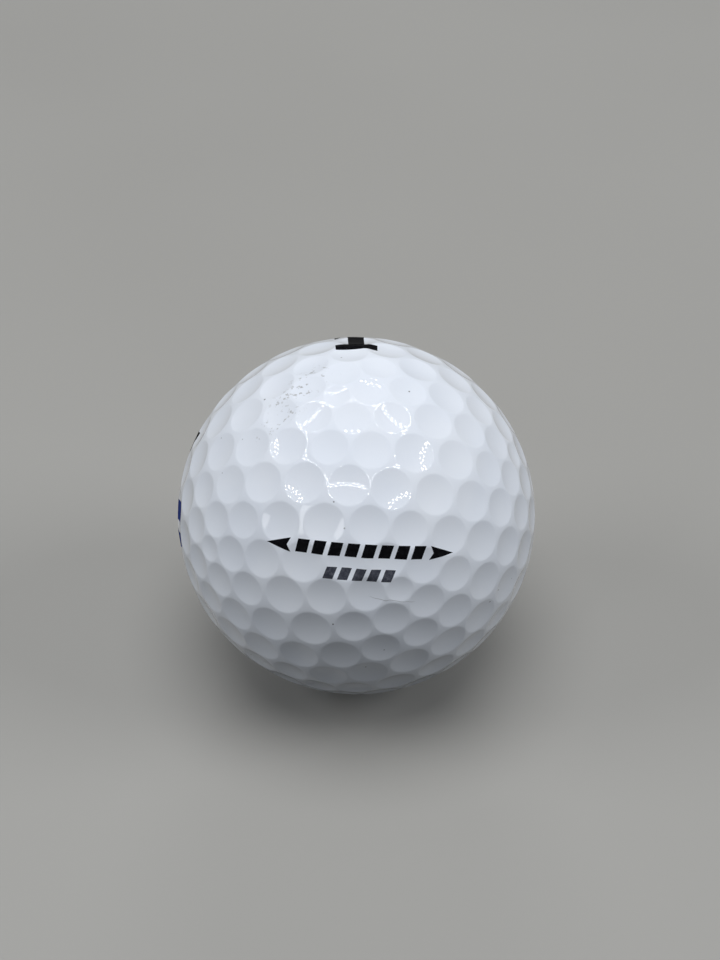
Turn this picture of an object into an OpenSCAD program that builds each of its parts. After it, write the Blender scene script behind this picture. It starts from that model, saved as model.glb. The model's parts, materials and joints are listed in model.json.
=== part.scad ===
// Golf ball in three layers: a solid rubber core, a firm mantle around it, and a
// dimpled cover. The origin is the centre of the ball, and +Z is up as it lies.
//
// The dimples sit on the net of an icosahedron. Twelve small dimples mark its corners,
// and each of its twenty faces holds fifteen more, so there are 312. They grow in steps
// with their distance from the nearest corner, as the net is closest at the corners.

/* [Layers] */
// Outside diameter over the lands between dimples
ball_d = 42.67; // [42.6:0.01:43]
// Diameter of the solid rubber core
core_d = 38.4; // [37:0.1:39]
// Thickness of the mantle around the core
mantle_wall = 1.3; // [0.8:0.1:1.4]

/* [Dimples] */
// Diameter of the twelve corner dimples
corner_dimple_d = 3; // [2.6:0.05:3.1]
// Diameter of the dimples in the two rings nearest a corner
ring_dimple_d = 4.05; // [3.6:0.05:4.1]
// Diameter of the dimples in the third ring
outer_dimple_d = 4.3; // [3.8:0.05:4.35]
// Diameter of the dimples around the middle of each face
face_dimple_d = 4.5; // [4:0.05:4.55]
// Depth of a full-size dimple below its own rim
dimple_depth = 0.17; // [0.1:0.01:0.2]

/* [Lie] */
// Roll of the dimple net about X, in degrees
net_roll = -18; // [-180:1:180]
// Pitch of the dimple net about Y, in degrees
net_pitch = -2; // [-180:1:180]
// Turn of the dimple net about Z, in degrees
net_turn = -19; // [-180:1:180]

/* [Hidden] */
$fn = 180;

ball_r = ball_d / 2;
core_r = core_d / 2;
mantle_r = core_r + mantle_wall;

// Steps along the two axes of the triangular net from one corner to the next.
STEP_A = 1;
STEP_B = 5;
STEPS_SQ = STEP_A * STEP_A + STEP_A * STEP_B + STEP_B * STEP_B;

// Squared net distance of the third ring, and of the dimples past it.
THIRD_RING = 4;
PAST_RINGS = 7;

// Dimple cutters stand this far above the ball, and reach this far past their rim.
CUTTER_RISE = 0.3;
CUTTER_EDGE = 0.02;

GOLDEN = (1 + sqrt(5)) / 2;
SIGNS = [-1, 1];
CORNERS = [
  for (a = SIGNS)
    for (b = SIGNS)
      each [[0, a, b * GOLDEN], [a, b * GOLDEN, 0], [b * GOLDEN, 0, a]]
];
CORNER_GAP = 2;
TINY = 0.001;

function unit(v) = v / norm(v);
function is_edge(a, b) = abs(norm(a - b) - CORNER_GAP) < TINY;

// Corners of each face, anticlockwise as seen from outside.
FACES = [
  for (i = [0:len(CORNERS) - 1])
    for (j = [i + 1:1:len(CORNERS) - 1])
      for (k = [i + 1:1:len(CORNERS) - 1])
        let (a = CORNERS[i], b = CORNERS[j], c = CORNERS[k])
          if (j != k && is_edge(a, b) && is_edge(b, c) && is_edge(a, c))
            if (cross(b - a, c - a) * a > 0) [a, b, c]
];

function net_sq(p) = p.x * p.x + p.x * p.y + p.y * p.y;

// Squared net distance from a net point to the nearest corner of its face.
function ring_of(p) =
  min(net_sq(p), net_sq(p - [STEP_A, STEP_B]), net_sq(p - [-STEP_B, STEP_A + STEP_B]));

// Share of the face's second and third corner in a net point's place.
function second_share(p) = (p.x * (STEP_A + STEP_B) + STEP_B * p.y) / STEPS_SQ;
function third_share(p) = (STEP_A * p.y - STEP_B * p.x) / STEPS_SQ;

// Each dimple as [its direction from the centre, its squared net distance].
face_dimples = [
  for (f = FACES)
    for (x = [-STEP_B:STEP_A])
      for (y = [0:STEP_A + STEP_B])
        let (p = [x, y], u = second_share(p), v = third_share(p))
          if (u > TINY && v > TINY && u + v < 1 - TINY)
            [unit((1 - u - v) * f[0] + u * f[1] + v * f[2]), ring_of(p)]
];
corner_dimples = [for (c = CORNERS) [unit(c), 0]];
dimples = concat(corner_dimples, face_dimples);

function dimple_r(ring) =
  (ring == 0 ? corner_dimple_d
    : ring < THIRD_RING ? ring_dimple_d
    : ring < PAST_RINGS ? outer_dimple_d
    : face_dimple_d) / 2;

// A smaller dimple is shallower, in proportion to its width.
function depth_of(r) = dimple_depth * (0.4 + 0.6 * 2 * r / face_dimple_d);

// Height above the ball's centre of the flat circle at a dimple's rim.
function rim_height(r) = sqrt(ball_r * ball_r - r * r);

// One dimple at the top of the ball: a slice of a large sphere.
module dimple_cutter(r) {
  depth = depth_of(r);
  bowl_r = (r * r + depth * depth) / (2 * depth);
  rim = rim_height(r);
  intersection() {
    translate([0, 0, rim - depth + bowl_r])
      sphere(bowl_r);
    translate([0, 0, rim - 2 * depth])
      cylinder(h = 2 * depth + CUTTER_RISE, r = r + CUTTER_EDGE);
  }
}

module core() {
  color("dimgray")
    sphere(core_r);
}

module mantle() {
  color("lightsteelblue")
    difference() {
      sphere(mantle_r);
      sphere(core_r);
    }
}

module cover() {
  color("white")
    difference() {
      sphere(ball_r);
      sphere(mantle_r);
      rotate([net_roll, net_pitch, net_turn])
        for (d = dimples)
          rotate([0, acos(d[0].z), atan2(d[0].y, d[0].x)])
            dimple_cutter(dimple_r(d[1]));
    }
}

core();
mantle();
cover();
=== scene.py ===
"""A golf ball in three layers, with generic printed marks, on a plain pale floor.

The cover is a mesh made on the same dimple net as the CAD cover. Each dimple is a cell
of rings from its middle to the line halfway across the land, and a height formula with
an eased rim sets every point, so neighbouring cells meet without a seam.
"""
import json
import math

import bmesh
import bpy
import numpy as np
from mathutils import Euler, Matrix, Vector


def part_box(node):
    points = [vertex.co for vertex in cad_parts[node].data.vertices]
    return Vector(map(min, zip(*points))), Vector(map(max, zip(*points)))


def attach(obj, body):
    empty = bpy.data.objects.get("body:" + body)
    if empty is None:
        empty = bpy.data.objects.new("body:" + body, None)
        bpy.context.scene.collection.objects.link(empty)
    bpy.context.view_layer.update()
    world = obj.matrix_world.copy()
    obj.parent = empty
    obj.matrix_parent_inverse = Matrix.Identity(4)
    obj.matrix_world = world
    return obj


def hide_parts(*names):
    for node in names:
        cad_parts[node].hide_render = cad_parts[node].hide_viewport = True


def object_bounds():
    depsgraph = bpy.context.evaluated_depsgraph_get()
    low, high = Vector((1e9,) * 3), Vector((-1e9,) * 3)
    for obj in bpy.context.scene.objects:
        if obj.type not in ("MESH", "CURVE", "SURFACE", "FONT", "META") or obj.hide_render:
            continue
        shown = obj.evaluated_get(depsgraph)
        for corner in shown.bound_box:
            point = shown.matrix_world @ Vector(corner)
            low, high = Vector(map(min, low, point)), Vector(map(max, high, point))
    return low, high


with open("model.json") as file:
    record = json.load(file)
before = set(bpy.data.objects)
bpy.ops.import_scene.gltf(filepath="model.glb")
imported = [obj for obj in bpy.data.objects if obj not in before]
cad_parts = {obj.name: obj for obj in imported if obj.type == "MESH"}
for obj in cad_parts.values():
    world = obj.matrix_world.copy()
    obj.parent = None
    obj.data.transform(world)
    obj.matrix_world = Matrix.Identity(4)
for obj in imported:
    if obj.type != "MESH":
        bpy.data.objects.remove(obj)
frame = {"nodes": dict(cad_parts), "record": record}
cad_low, cad_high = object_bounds()

MM = 0.001
X, Y, Z = Vector((1, 0, 0)), Vector((0, 1, 0)), Vector((0, 0, 1))
REST = next(m for m in frame["record"]["mounts"] if m["name"] == "rest")
BALL_R = REST["dims"]["r_mm"] * MM

# The dimple net, as in the CAD source.
STEP_A, STEP_B = 1, 5
STEPS_SQ = STEP_A**2 + STEP_A * STEP_B + STEP_B**2
THIRD_RING, PAST_RINGS = 4, 7
CORNER_DIMPLE_D = 3.0 * MM
RING_DIMPLE_D = 4.05 * MM
OUTER_DIMPLE_D = 4.3 * MM
FACE_DIMPLE_D = 4.5 * MM
DIMPLE_DEPTH = 0.17 * MM
NET_ANGLES = (-18, -2, -19)
TINY = 0.001

# The share of its depth that a smaller dimple keeps whatever its width.
DEPTH_KEPT = 0.4

# How softly the lacquer rounds a dimple's rim, as a height.
RIM_SOFTNESS = 0.021 * MM

# The camera, as the photograph was taken.
VIEW_ELEVATION = 39.3
VIEW_DISTANCE = 186.2 * MM
VIEW_ROLL = 0.9
VIEW_LENS = 58.1
VIEW_CLIP = (0.01, 20)
SENSOR = 36
AIM_ABOVE = 4.22 * MM
AIM_RIGHT = 0.35 * MM

VIEW_TILT = math.radians(VIEW_ELEVATION)
VIEW_BACK = Vector((0, -math.cos(VIEW_TILT), math.sin(VIEW_TILT)))
VIEW_RISE = Vector((0, math.sin(VIEW_TILT), math.cos(VIEW_TILT)))


def seen_way(right, up):
    """Direction of a surface point from where the camera stands, by two angles."""
    angle = math.radians(math.hypot(right, up))
    side = (X * right + VIEW_RISE * up).normalized()
    return VIEW_BACK * math.cos(angle) + side * math.sin(angle)


# ---------------------------------------------------------------- the dimple net

def unit(v):
    return v / np.linalg.norm(v, axis=-1, keepdims=True)


def net_corners():
    golden = (1 + math.sqrt(5)) / 2
    found = []
    for a in (-1, 1):
        for b in (-golden, golden):
            found += [(0, a, b), (a, b, 0), (b, 0, a)]
    return np.array(found, float)


def net_faces(corners):
    """The icosahedron's faces, each with its corners anticlockwise from outside."""
    edge = 2
    found = []
    for i, a in enumerate(corners):
        for b in corners[i + 1:]:
            for c in corners[i + 1:]:
                sides = [np.linalg.norm(p - q) for p, q in ((a, b), (b, c), (c, a))]
                if np.allclose(sides, edge) and np.cross(b - a, c - a) @ a > 0:
                    found.append((a, b, c))
    return found


def net_square(x, y):
    return x * x + x * y + y * y


def ring_diameter(square):
    if square < THIRD_RING:
        return RING_DIMPLE_D
    if square < PAST_RINGS:
        return OUTER_DIMPLE_D
    return FACE_DIMPLE_D


def dimple_net():
    """Each dimple's direction from the ball's centre, and its rim radius."""
    corners = net_corners()
    ways = list(corners)
    widths = [CORNER_DIMPLE_D] * len(corners)
    for a, b, c in net_faces(corners):
        for x in range(-STEP_B, STEP_A + 1):
            for y in range(STEP_A + STEP_B + 1):
                u = (x * (STEP_A + STEP_B) + STEP_B * y) / STEPS_SQ
                v = (STEP_A * y - STEP_B * x) / STEPS_SQ
                if min(u, v, 1 - u - v) < TINY:
                    continue
                square = min(
                    net_square(x, y),
                    net_square(x - STEP_A, y - STEP_B),
                    net_square(x + STEP_B, y - STEP_A - STEP_B),
                )
                ways.append((1 - u - v) * a + u * b + v * c)
                widths.append(ring_diameter(square))
    turn = Euler([math.radians(a) for a in NET_ANGLES], "XYZ").to_matrix()
    return unit(np.array(ways)) @ np.array(turn).T, np.array(widths) / 2


WAYS, RIMS = dimple_net()
DEPTHS = DIMPLE_DEPTH * (DEPTH_KEPT + (1 - DEPTH_KEPT) * 2 * RIMS / FACE_DIMPLE_D)
BOWLS = (RIMS**2 + DEPTHS**2) / (2 * DEPTHS)
RIM_HEIGHTS = np.sqrt(BALL_R**2 - RIMS**2)

# Far from a dimple, the squared distance from its axis is held at this share of its
# bowl's squared radius, so that the square root stays real.
BOWL_LIMIT = 0.9

# The angle to each side of a point over which the surface's slope is taken.
SLOPE_STEP = 0.008 * MM / BALL_R

# Where a direction rises past this, its east is taken from X and not from Z.
POLE_HEIGHT = 0.9


def nearest_dimples(ways, count=4, chunk=20000):
    parts = []
    for start in range(0, len(ways), chunk):
        closeness = ways[start:start + chunk] @ WAYS.T
        parts.append(np.argpartition(-closeness, count, axis=1)[:, :count])
    return np.concatenate(parts)


def surface_radius(ways, near):
    """Distance from the ball's centre to its surface in each direction."""
    along = np.einsum("nj,nkj->nk", ways, WAYS[near])
    off_axis_sq = np.minimum(BALL_R**2 * (1 - along**2), BOWL_LIMIT * BOWLS[near] ** 2)
    bowl = RIM_HEIGHTS[near] - DEPTHS[near] + BOWLS[near]
    bowl = bowl - np.sqrt(BOWLS[near] ** 2 - off_axis_sq)
    land = np.sqrt(np.maximum(BALL_R**2 - off_axis_sq, 0))
    drop = land - bowl
    eased = (drop + np.sqrt(drop**2 + RIM_SOFTNESS**2)) / 2
    return BALL_R - eased.sum(axis=1)


def surface_points(ways, lift=0.0):
    """Points on the cover, raised by lift, with the surface's true normals."""
    near = nearest_dimples(ways)
    radius = surface_radius(ways, near)
    helper = np.where(np.abs(ways[:, 2:3]) < POLE_HEIGHT, [[0, 0, 1]], [[1, 0, 0]])
    east = unit(np.cross(helper, ways))
    north = np.cross(ways, east)
    normals = ways.copy()
    for side in (east, north):
        ahead = surface_radius(unit(ways + side * SLOPE_STEP), near)
        behind = surface_radius(unit(ways - side * SLOPE_STEP), near)
        slope = (ahead - behind) / (2 * SLOPE_STEP * radius)
        normals = normals - side * slope[:, None]
    return ways * (radius + lift)[:, None], unit(normals)


# ---------------------------------------------------------------- meshes

def add_mesh(name, points, faces, normals=None):
    mesh = bpy.data.meshes.new(name)
    mesh.from_pydata(points.tolist(), [], faces)
    mesh.polygons.foreach_set("use_smooth", [True] * len(mesh.polygons))
    if normals is not None:
        mesh.normals_split_custom_set_from_vertices(normals.tolist())
    mesh.update()
    piece = bpy.data.objects.new(name, mesh)
    bpy.context.scene.collection.objects.link(piece)
    return piece


# A cell's rings: shares of the rim's angle, distances past the rim, and shares of the
# land between the rim and the cell's outline. Then the steps in each side of the outline.
BOWL_RINGS = (0.4, 0.72)
RIM_RINGS = (-0.22 * MM, -0.11 * MM, -0.045 * MM, 0)
LAND_RINGS = (0.3, 0.62)
EDGE_STEPS = 6

# Two dimples whose middles are this close are neighbours.
NEIGHBOUR_REACH = math.radians(16.5)

# A direction that no dimple faces, from which the turns round each one are measured.
NO_DIMPLE = (0.3, 0.5, 0.8)

# Outline points that agree to this many digits are one point.
SHARED_DIGITS = 6

# The cover's inside clears the mantle by more than its flat faces cut off.
INSIDE_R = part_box("mantle")[1].z + 0.02 * MM
LINING_FINENESS = 5


def cell_outline(i):
    """The line halfway across the land round dimple i, anticlockwise."""
    gaps = np.arccos(np.clip(WAYS @ WAYS[i], -1, 1))
    gaps[i] = math.inf
    around = np.flatnonzero(gaps < NEIGHBOUR_REACH)
    east = unit(np.cross(NO_DIMPLE, WAYS[i]))
    north = np.cross(WAYS[i], east)
    turn = np.arctan2(WAYS[around] @ north, WAYS[around] @ east)
    around = around[np.argsort(turn)]
    weighted = WAYS / (RIM_HEIGHTS / BALL_R)[:, None]
    meets = []
    for j, k in zip(around, np.roll(around, -1)):
        meet = unit(np.cross(weighted[i] - weighted[j], weighted[i] - weighted[k]))
        meets.append(meet * np.sign(meet @ WAYS[i]))
    outline = []
    for start, end in zip(np.roll(meets, 1, axis=0), meets):
        for step in range(EDGE_STEPS):
            share = step / EDGE_STEPS
            outline.append(unit(start * (1 - share) + end * share))
    return np.array(outline)


def lining():
    """The cover's inside, a fine round net whose faces look inwards."""
    net = bmesh.new()
    bmesh.ops.create_icosphere(net, subdivisions=LINING_FINENESS, radius=1)
    net.verts.index_update()
    ways = unit(np.array([v.co for v in net.verts]))
    faces = [tuple(v.index for v in reversed(face.verts)) for face in net.faces]
    net.free()
    return ways, faces


def cover_mesh():
    ways, faces, outline_index = [], [], {}

    def shared(way):
        """The index of a point on an outline, one for all the cells that meet there."""
        # Adding zero turns a rounded -0.0 into 0.0, so that both make the same key.
        key = tuple(np.round(way, SHARED_DIGITS) + 0.0)
        if key not in outline_index:
            outline_index[key] = len(ways)
            ways.append(way)
        return outline_index[key]

    for i, middle in enumerate(WAYS):
        outline = cell_outline(i)
        count = len(outline)
        reach = np.arccos(outline @ middle)
        side = unit(outline - (outline @ middle)[:, None] * middle)
        rim = math.asin(RIMS[i] / BALL_R)
        radii = [np.full(count, rim * share) for share in BOWL_RINGS]
        radii += [np.full(count, rim + step / BALL_R) for step in RIM_RINGS]
        radii += [rim + (reach - rim) * share for share in LAND_RINGS]
        centre = len(ways)
        ways.append(middle)
        rings = []
        for radius in radii:
            ring = np.cos(radius)[:, None] * middle + np.sin(radius)[:, None] * side
            rings.append(list(range(len(ways), len(ways) + count)))
            ways.extend(ring)
        rings.append([shared(way) for way in outline])
        for n in range(count):
            m = (n + 1) % count
            faces.append((centre, rings[0][n], rings[0][m]))
            for inner, outer in zip(rings, rings[1:]):
                faces.append((inner[n], outer[n], outer[m], inner[m]))
    points, normals = surface_points(unit(np.array(ways)))
    inner_ways, inner_faces = lining()
    faces += [tuple(n + len(points) for n in face) for face in inner_faces]
    points = np.concatenate([points, inner_ways * INSIDE_R])
    normals = np.concatenate([normals, -inner_ways])
    return add_mesh("cover_dimpled", points, faces, normals)


# ---------------------------------------------------------------- printed marks

INK_LIFT = 0.010 * MM
INK_THICKNESS = 0.016 * MM
INK_GRID = 0.18 * MM

# Points this near a cut lie on it, and points this near each other are made one.
CUT_REACH = 1e-8
MERGE_REACH = 0.002 * MM

# Where the printed band faces, and how far its right end dips.
PRINT_ELEVATION = 28.8
PRINT_AZIMUTH = 1.55
PRINT_DIP = 3.8

# The band: an arrowhead at each end, a row of dashes and a smaller grey row under it.
HEAD_TIP = 10.52 * MM
HEAD_LENGTH = 2.8 * MM
HEAD_HEIGHT = 1.6 * MM
HEAD_NOTCH = 0.42 * MM
DASHES = {
    "count": 8,
    "pitch": 1.82 * MM,
    "y": 0.05 * MM,
    "width": 1.3 * MM,
    "height": 1.5 * MM,
    "slant": 0.35 * MM,
}
SMALL_DASHES = {
    "count": 5,
    "pitch": 1.6 * MM,
    "y": -2.62 * MM,
    "width": 1.1 * MM,
    "height": 1.35 * MM,
    "slant": 0.45 * MM,
}

# The play number, a figure 1 whose flag has a blunt end.
FIGURE_FOOT, FIGURE_TOP = -6.0 * MM, 4.6 * MM
FIGURE_SLAB = 1.6 * MM
FIGURE_HALF_FOOT = 2.5 * MM
FIGURE_HALF_STEM = 0.95 * MM
FLAG_REACH = 2.5 * MM
FLAG_UPPER = FIGURE_TOP - 1.4 * MM
FLAG_LOWER = FIGURE_TOP - 3.0 * MM
FLAG_ROOT = FIGURE_TOP - 2.1 * MM
TOP_FIGURE_SHIFT = -1.55 * MM

# The bars on the left side, each by the x and y of its middle, its width and height.
BLUE_BARS = (
    (-0.4 * MM, -0.29 * MM, 11.5 * MM, 2.33 * MM),
    (-0.4 * MM, -3.75 * MM, 11.5 * MM, 2.5 * MM),
)
DARK_BAR = (-0.4 * MM, 8.1 * MM, 5.2 * MM, 2.5 * MM)


def print_frame(facing, up):
    """Directions of a print: the way it faces, its right and its up."""
    facing = facing.normalized()
    right = up.cross(facing).normalized()
    return facing, right, facing.cross(right)


def outline_grid(outlines):
    """Flat shapes, in metres, cut into a grid fine enough to follow the dimples."""
    flat = bmesh.new()
    for outline in outlines:
        flat.faces.new([flat.verts.new((x, y, 0)) for x, y in outline])
    flat.normal_update()
    bmesh.ops.triangulate(flat, faces=flat.faces[:])
    for axis in (X, Y):
        ends = [v.co.dot(axis) for v in flat.verts]
        cuts = np.arange(min(ends) + INK_GRID / 2, max(ends), INK_GRID)
        for place in cuts:
            bmesh.ops.bisect_plane(
                flat,
                geom=flat.verts[:] + flat.edges[:] + flat.faces[:],
                dist=CUT_REACH,
                plane_co=axis * place,
                plane_no=axis,
            )
    bmesh.ops.remove_doubles(flat, verts=flat.verts[:], dist=MERGE_REACH)
    return flat


def printed_mark(name, outlines, directions, material):
    """A closed film of ink that lies on the cover and follows its dimples."""
    flat = outline_grid(outlines)
    bmesh.ops.recalc_face_normals(flat, faces=flat.faces[:])
    flat.verts.ensure_lookup_table()
    flat.verts.index_update()
    plane = np.array([v.co[:2] for v in flat.verts]) / BALL_R
    x, y = plane[:, :1], plane[:, 1:]
    facing, right, up = (np.array(d) for d in directions)
    level = np.cos(y)
    ways = level * np.cos(x) * facing + level * np.sin(x) * right + np.sin(y) * up
    top, normals = surface_points(unit(ways), INK_LIFT)
    bottom = top - normals * INK_THICKNESS
    count = len(top)
    faces, walls = [], []
    for face in flat.faces:
        loop = [v.index for v in face.verts]
        if face.normal.z < 0:
            loop.reverse()
        faces.append(loop)
        for a, b in zip(loop, loop[1:] + loop[:1]):
            if flat.edges.get((flat.verts[a], flat.verts[b])).is_boundary:
                walls.append((b, a, a + count, b + count))
    under = [[n + count for n in reversed(loop)] for loop in faces]
    flat.free()
    piece = add_mesh(
        name,
        np.concatenate([top, bottom]),
        faces + under + walls,
        np.concatenate([normals, normals]),
    )
    piece.data.materials.append(material)
    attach(piece, "root")


def slanted(x, y, width, height, slant=0):
    """A plain dash with its upper edge pushed to the right by slant."""
    low, high = y - height / 2, y + height / 2
    left, right, push = x - width / 2, x + width / 2, slant / 2
    return [
        (left - push, low),
        (right - push, low),
        (right + push, high),
        (left + push, high),
    ]


def dash_row(count, pitch, y, width, height, slant):
    start = -(count - 1) / 2 * pitch
    return [slanted(start + n * pitch, y, width, height, slant) for n in range(count)]


def arrowhead(way):
    """A solid dart with a notched back that points to way, 1 or -1, along x."""
    tip = way * HEAD_TIP
    back = tip - way * HEAD_LENGTH
    half = HEAD_HEIGHT / 2
    points = [(tip, 0), (back, half), (back + way * HEAD_NOTCH, 0), (back, -half)]
    return points if way < 0 else points[::-1]


# ---------------------------------------------------------------- materials

class Look:
    """One procedural material, built node by node."""

    def __init__(self, name, **constants):
        self.material = bpy.data.materials.new(name)
        self.material.use_nodes = True
        self.tree = self.material.node_tree
        self.shader = self.tree.nodes["Principled BSDF"]
        self.set(**constants)
        self.place = self.add("ShaderNodeTexCoord").outputs["Object"]

    def add(self, kind, *inputs, **settings):
        node = self.tree.nodes.new(kind)
        for setting, value in settings.items():
            setattr(node, setting, value)
        for socket, value in inputs:
            self.feed(node.inputs[socket], value)
        return node

    def feed(self, socket, value):
        if isinstance(value, bpy.types.NodeSocket):
            self.tree.links.new(value, socket)
        else:
            socket.default_value = value

    def math(self, operation, first, second=0.0):
        pair = ((0, first), (1, second))
        return self.add("ShaderNodeMath", *pair, operation=operation).outputs[0]

    def times(self, first, second):
        return self.math("MULTIPLY", first, second)

    def dot(self, way):
        """How far along a direction each point of the piece lies."""
        pair = ((0, self.place), (1, tuple(way)))
        node = self.add("ShaderNodeVectorMath", *pair, operation="DOT_PRODUCT")
        return node.outputs["Value"]

    def noise(self, size, detail=3.0, roughness=0.55):
        """Noise whose spots are about this size, in metres."""
        pair = (("Vector", self.place), ("Scale", 1 / size))
        more = (("Detail", detail), ("Roughness", roughness))
        return self.add("ShaderNodeTexNoise", *pair, *more).outputs["Fac"]

    def ramp(self, value, low, high, start=0.0, end=1.0):
        """The value's span from low to high, as start to end, and held past both."""
        pair = (("Value", value), ("From Min", low), ("From Max", high))
        more = (("To Min", start), ("To Max", end))
        return self.add("ShaderNodeMapRange", *pair, *more, clamp=True).outputs[0]

    def spots(self, size, low, high, start=0.0, end=1.0, **finer):
        """Noise of about this size, spread between two of its levels."""
        return self.ramp(self.noise(size, **finer), low, high, start, end)

    def mix(self, share, first, second):
        pair = ((0, share), (6, first), (7, second))
        return self.add("ShaderNodeMix", *pair, data_type="RGBA").outputs[2]

    def bump(self, height, distance):
        pair = (("Height", height), ("Distance", distance))
        return self.add("ShaderNodeBump", *pair).outputs[0]

    def set(self, **sockets):
        for socket, value in sockets.items():
            self.feed(self.shader.inputs[socket.replace("_", " ")], value)


LACQUER = {"Coat_Weight": 1.0, "Coat_Roughness": 0.035, "Coat_IOR": 1.5}
INK_SHEEN = {"Coat_Weight": 0.12, "Coat_Roughness": 0.06}

# Colours. A pair is a surface's two tones; an ink's are where it is full and thin.
WHITE_TONES = (0.77, 0.805, 0.87, 1), (0.735, 0.775, 0.85, 1)
SCUFF_GREY = (0.25, 0.235, 0.22, 1)
SPECK_DARK = (0.10, 0.09, 0.09, 1)
BLACK_INK = (0.003, 0.003, 0.004, 1), (0.010, 0.010, 0.012, 1)
GREY_INK = (0.044, 0.047, 0.062, 1), (0.115, 0.12, 0.145, 1)
BLUE_INK = (0.004, 0.02, 0.16, 1), (0.012, 0.035, 0.22, 1)
RUBBER_TONES = (0.05, 0.16, 0.24, 1), (0.08, 0.22, 0.30, 1)
CHALK = (0.45, 0.50, 0.52, 1)
IONOMER_TONES = (0.58, 0.62, 0.54, 1), (0.66, 0.69, 0.62, 1)
FLOOR_TONES = (0.305, 0.298, 0.283, 1), (0.335, 0.328, 0.312, 1)

# Levels of noise. A mottled surface changes its tone between the first two, and a
# wandering value spreads over the wider two.
MOTTLE = {"low": 0.35, "high": 0.65}
WANDER = {"low": 0.3, "high": 0.7}

# The scuffed streak runs between two places that the camera sees. Sideways and along,
# the first value is where it starts to show and the second where it shows in full.
SCUFF_ENDS = seen_way(-8, 54), seen_way(-33, 20)
SCUFF_WAY = (SCUFF_ENDS[0] + SCUFF_ENDS[1]).normalized()
SCUFF_SIDE = SCUFF_ENDS[0].cross(SCUFF_ENDS[1]).normalized()
SCUFF_SIDEWAYS = (2.7 * MM, 0.9 * MM)
SCUFF_ALONG = (BALL_R * 0.94, BALL_R * 0.965)
SCUFF_STRENGTH = 0.65

# The hair scratch lies round one such place, with its values in the same order.
SCRATCH_WAY = seen_way(10.0, -25.6)
SCRATCH_SIDE = SCRATCH_WAY.cross(X + Z * -0.2).normalized()
SCRATCH_SIDEWAYS = (0.05 * MM, 0.015 * MM)
SCRATCH_ALONG = (BALL_R * 0.982, BALL_R * 0.99)
SCRATCH_BEND = 0.3 * MM
SCRATCH_STRENGTH = 0.5

# Two sets of dark specks: the size of the cell that holds one, and a speck's width.
SPECK_SETS = (3.2 * MM, 0.13 * MM), (5.3 * MM, 0.16 * MM)
SPECK_STRENGTH = 0.85


def scuffs(look):
    """Rubbed grey specks in a streak across the upper left of the cover."""
    beside = look.math("ABSOLUTE", look.dot(SCUFF_SIDE))
    streak = look.ramp(beside, *SCUFF_SIDEWAYS)
    ends = look.ramp(look.dot(SCUFF_WAY), *SCUFF_ALONG)
    grit = look.spots(0.6 * MM, low=0.575, high=0.64, roughness=0.7)
    clumps = look.spots(2.4 * MM, low=0.47, high=0.56, detail=2.0)
    return look.times(look.times(streak, ends), look.times(grit, clumps))


def specks(look, cell, width):
    """Sparse dark specks: a cell's own point shows where it meets the surface."""
    pair = (("Vector", look.place), ("Scale", 1 / cell))
    nearest = look.add("ShaderNodeTexVoronoi", *pair).outputs["Distance"]
    return look.ramp(nearest, width / cell, width / 2 / cell)


def scratch(look):
    """One hair-fine scratch across the front, below the print."""
    bend = look.spots(4 * MM, start=-SCRATCH_BEND, end=SCRATCH_BEND, **WANDER)
    across = look.math("ABSOLUTE", look.math("ADD", look.dot(SCRATCH_SIDE), bend))
    line = look.ramp(across, *SCRATCH_SIDEWAYS)
    near = look.ramp(look.dot(SCRATCH_WAY), *SCRATCH_ALONG)
    return look.times(look.times(line, near), SCRATCH_STRENGTH)


def cover_material():
    """White urethane with its wear, under gloss lacquer."""
    look = Look("lacquered_urethane", Specular_IOR_Level=0.1, **LACQUER)
    colour = look.mix(look.spots(9 * MM, **MOTTLE), *WHITE_TONES)
    wear = look.times(scuffs(look), SCUFF_STRENGTH)
    colour = look.mix(wear, colour, SCUFF_GREY)
    colour = look.mix(scratch(look), colour, SPECK_DARK)
    dirt = look.math("MAXIMUM", *(specks(look, *sizes) for sizes in SPECK_SETS))
    colour = look.mix(look.times(dirt, SPECK_STRENGTH), colour, SPECK_DARK)
    peel = look.bump(look.noise(1.1 * MM, detail=1.0), distance=0.003 * MM)
    rough = look.ramp(wear, low=0, high=0.5, start=0.28, end=0.55)
    look.set(Base_Color=colour, Roughness=rough, Coat_Normal=peel)
    return look.material


def ink_material(name, ink, thin_ink):
    """Ink that is a little thinner in places, duller than the cover round it."""
    look = Look(name, Roughness=0.5, Specular_IOR_Level=0.0, **INK_SHEEN)
    thin = look.spots(0.5 * MM, low=0.45, high=0.75, detail=4.0, roughness=0.7)
    peel = look.bump(look.noise(0.9 * MM, detail=1.0), distance=0.0015 * MM)
    look.set(Base_Color=look.mix(thin, ink, thin_ink), Coat_Normal=peel)
    return look.material


def core_material():
    """Moulded rubber: dull, mottled, with fine chalky specks."""
    look = Look("moulded_rubber")
    colour = look.mix(look.spots(4 * MM, **MOTTLE), *RUBBER_TONES)
    chalk = look.spots(0.5 * MM, low=0.66, high=0.74, end=0.5, detail=2.0)
    colour = look.mix(chalk, colour, CHALK)
    rough = look.spots(1.5 * MM, start=0.6, end=0.8, **WANDER)
    grain = look.bump(look.noise(0.3 * MM, detail=2.0), distance=0.01 * MM)
    look.set(Base_Color=colour, Roughness=rough, Normal=grain)
    return look.material


def mantle_material():
    """Moulded ionomer: satin and faintly milky."""
    look = Look("moulded_ionomer", Subsurface_Weight=0.4, Subsurface_Scale=1.0 * MM)
    colour = look.mix(look.spots(6 * MM, **MOTTLE), *IONOMER_TONES)
    rough = look.spots(2 * MM, start=0.32, end=0.48, **WANDER)
    grain = look.bump(look.noise(0.6 * MM, detail=2.0), distance=0.004 * MM)
    look.set(Base_Color=colour, Roughness=rough, Normal=grain)
    return look.material


def give(piece, material):
    piece.data.materials.clear()
    piece.data.materials.append(material)


# ---------------------------------------------------------------- the ball

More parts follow.
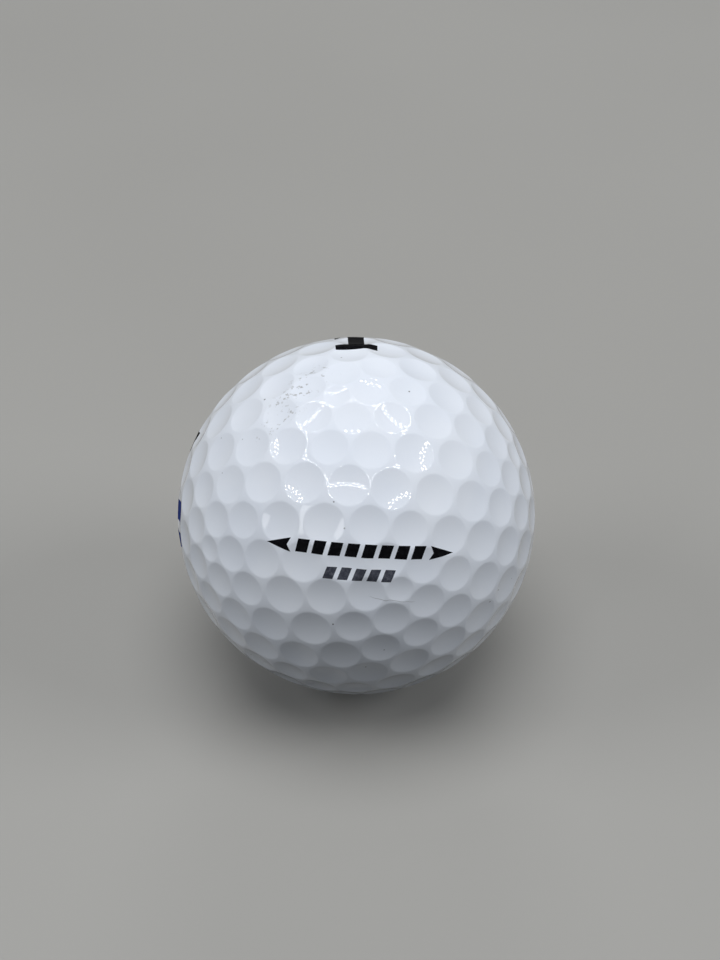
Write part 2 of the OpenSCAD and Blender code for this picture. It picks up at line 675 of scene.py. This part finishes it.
def print_directions():
    """The printed band's frame: front, right and pole, as the ball lies."""
    lie = Euler((math.radians(-PRINT_ELEVATION), 0, math.radians(PRINT_AZIMUTH)))
    front, level, pole = (lie.to_matrix() @ way for way in (-Y, X, Z))
    dip = math.radians(PRINT_DIP)
    right = level * math.cos(dip) - pole * math.sin(dip)
    return front, right, front.cross(right)


def band(name_end, facing, up, inks):
    """An alignment band: two arrowheads, a row of dashes and a smaller grey row."""
    black, grey = inks
    directions = print_frame(facing, up)
    for name, way in (("arrow_left", -1), ("arrow_right", 1)):
        printed_mark(name + name_end, [arrowhead(way)], directions, black)
    dashes, small = dash_row(**DASHES), dash_row(**SMALL_DASHES)
    printed_mark("dash_row" + name_end, dashes, directions, black)
    printed_mark("grey_row" + name_end, small, directions, grey)


def play_number(name, facing, up, ink, shift=0.0):
    """A plain figure 1 at a pole, with its foot towards the band."""
    slab_top = FIGURE_FOOT + FIGURE_SLAB
    outline = [
        (-FIGURE_HALF_FOOT, FIGURE_FOOT),
        (FIGURE_HALF_FOOT, FIGURE_FOOT),
        (FIGURE_HALF_FOOT, slab_top),
        (FIGURE_HALF_STEM, slab_top),
        (FIGURE_HALF_STEM, FIGURE_TOP),
        (-FIGURE_HALF_STEM / 2, FIGURE_TOP),
        (-FLAG_REACH, FLAG_UPPER),
        (-FLAG_REACH, FLAG_LOWER),
        (-FIGURE_HALF_STEM, FLAG_ROOT),
        (-FIGURE_HALF_STEM, slab_top),
        (-FIGURE_HALF_FOOT, slab_top),
    ]
    outline = [(x + shift, y) for x, y in outline]
    printed_mark(name, [outline], print_frame(facing, up), ink)


def side_marks(facing, up, black, blue):
    """Two plain blue bars on the left side, and a dark one above them."""
    directions = print_frame(facing, up)
    bars = [slanted(*bar) for bar in BLUE_BARS]
    printed_mark("side_bars_blue", bars, directions, blue)
    printed_mark("side_bar_dark", [slanted(*DARK_BAR)], directions, black)


def ball():
    cover = cover_mesh()
    give(cover, cover_material())
    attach(cover, "root")
    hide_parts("cover")
    give(frame["nodes"]["core"], core_material())
    give(frame["nodes"]["mantle"], mantle_material())

    black = ink_material("black_ink", *BLACK_INK)
    grey = ink_material("grey_ink", *GREY_INK)
    blue = ink_material("blue_ink", *BLUE_INK)
    front, right, pole = print_directions()
    band("_front", front, pole, (black, grey))
    band("_back", -front, pole, (black, grey))
    play_number("play_number_top", pole, -front, black, TOP_FIGURE_SHIFT)
    play_number("play_number_bottom", -pole, front, black)
    side_marks(-right, pole, black, blue)


# ---------------------------------------------------------------- the studio

# The floor: the radius of its flat, the radius of its bend and the wall's height.
FLOOR_R, FLOOR_BEND, FLOOR_TOP = 0.9, 0.5, 1.8
FLOOR_RINGS = (0.02, 0.1, 0.3, 0.6, 1.0)
FLOOR_TURNS = 96
BEND_STEPS = 16
FLOOR_SPOTS = 0.25

# The ring of lamps, whose reflections show in the dimples. Each row is its radius and
# how far it is turned, as a share of the gap between lamps.
LAMP_MIDDLE = Vector((-0.014, -0.037, 0.30))
LAMP_ROWS = (0.159, 0), (0.171, 0.5)
LAMPS_IN_ROW = 48
LAMP_D = 0.0065
LAMP_WATTS = 0.0038

# The other lights: name, shape, place, size, watts, and whether gloss shows them.
LIGHTS = (
    ("overhead", "DISK", (-0.03, -0.12, 1.5), (1.2, 1.2), 16.8, False),
    ("window", "RECTANGLE", seen_way(-33, -3) * 1.2, (0.154, 0.36), 0.5, True),
    ("right_fill", "DISK", (1.1, -0.15, 0.75), (0.7, 0.7), 6.8, False),
    ("left_fill", "DISK", (-1.1, -0.15, 0.75), (0.7, 0.7), 5.6, False),
    ("back_fill", "DISK", (0, 1.1, 0.42), (0.45, 0.45), 2.6, False),
)
DAYLIGHT = (0.97, 0.985, 1.0)
WORLD_COLOUR = (0.86, 0.93, 1.0, 1)
WORLD_STRENGTH = 0.085


def floor():
    """A pale floor that curves up into a wall all round, out of the camera's way."""
    profile = [(FLOOR_R * share, 0.0) for share in FLOOR_RINGS]
    for step in range(1, BEND_STEPS + 1):
        turn = math.pi / 2 * step / BEND_STEPS
        out, up = math.sin(turn), 1 - math.cos(turn)
        profile.append((FLOOR_R + FLOOR_BEND * out, FLOOR_BEND * up))
    profile.append((FLOOR_R + FLOOR_BEND, FLOOR_TOP))
    points, faces = [], []
    for radius, height in profile:
        for n in range(FLOOR_TURNS):
            turn = math.tau * n / FLOOR_TURNS
            x, y = radius * math.cos(turn), radius * math.sin(turn)
            points.append((x, y, cad_low.z + height))
    faces.append(tuple(range(FLOOR_TURNS)))
    for ring in range(len(profile) - 1):
        inner, outer = ring * FLOOR_TURNS, (ring + 1) * FLOOR_TURNS
        for n in range(FLOOR_TURNS):
            m = (n + 1) % FLOOR_TURNS
            faces.append((inner + n, outer + n, outer + m, inner + m))
    ground = add_mesh("floor", np.array(points), faces)
    look = Look("pale_floor", Roughness=0.75)
    look.set(Base_Color=look.mix(look.spots(FLOOR_SPOTS, **WANDER), *FLOOR_TONES))
    give(ground, look.material)
    # A pale floor would light the ball from below, which the dark wood under the
    # photograph's ball hardly does, so this one sends no scattered light back at it.
    ground.visible_diffuse = False


def aimed_light(name, shape, place, size, watts, mirrored=True):
    """An area light that faces the ball; mirrored says whether gloss shows it."""
    data = bpy.data.lights.new(name, "AREA")
    data.shape = shape
    data.size, data.size_y = size
    data.energy = watts
    data.color = DAYLIGHT
    light = bpy.data.objects.new(name, data)
    light.location = place
    light.rotation_euler = (-Vector(place)).to_track_quat("-Z", "Y").to_euler()
    light.visible_glossy = mirrored
    light.visible_camera = False
    bpy.context.scene.collection.objects.link(light)
    return light


def ring_light():
    """Two rows of small lamps in a ring overhead, which show only as reflections."""
    for radius, offset in LAMP_ROWS:
        for n in range(LAMPS_IN_ROW):
            turn = math.tau * (n + offset) / LAMPS_IN_ROW
            place = LAMP_MIDDLE + radius * (X * math.cos(turn) + Y * math.sin(turn))
            lamp = aimed_light("ring_lamp", "DISK", place, (LAMP_D, LAMP_D), LAMP_WATTS)
            lamp.visible_diffuse = False


def studio():
    floor()
    ring_light()
    for light in LIGHTS:
        aimed_light(*light)
    world = bpy.data.worlds.new("studio")
    world.use_nodes = True
    background = world.node_tree.nodes["Background"]
    background.inputs["Color"].default_value = WORLD_COLOUR
    background.inputs["Strength"].default_value = WORLD_STRENGTH
    bpy.context.scene.world = world
    bpy.context.scene.view_settings.view_transform = "Standard"


def camera():
    data = bpy.data.cameras.new("camera")
    data.lens = VIEW_LENS
    data.sensor_width = SENSOR
    data.clip_start, data.clip_end = VIEW_CLIP
    eye = bpy.data.objects.new("camera", data)
    eye.location = VIEW_BACK * VIEW_DISTANCE
    aim = X * AIM_RIGHT + VIEW_RISE * AIM_ABOVE
    look = (aim - eye.location).to_track_quat("-Z", "Y").to_matrix()
    roll = Euler((0, 0, math.radians(VIEW_ROLL))).to_matrix()
    eye.rotation_euler = (look @ roll).to_euler()
    bpy.context.scene.collection.objects.link(eye)
    bpy.context.scene.camera = eye


camera()
ball()
studio()
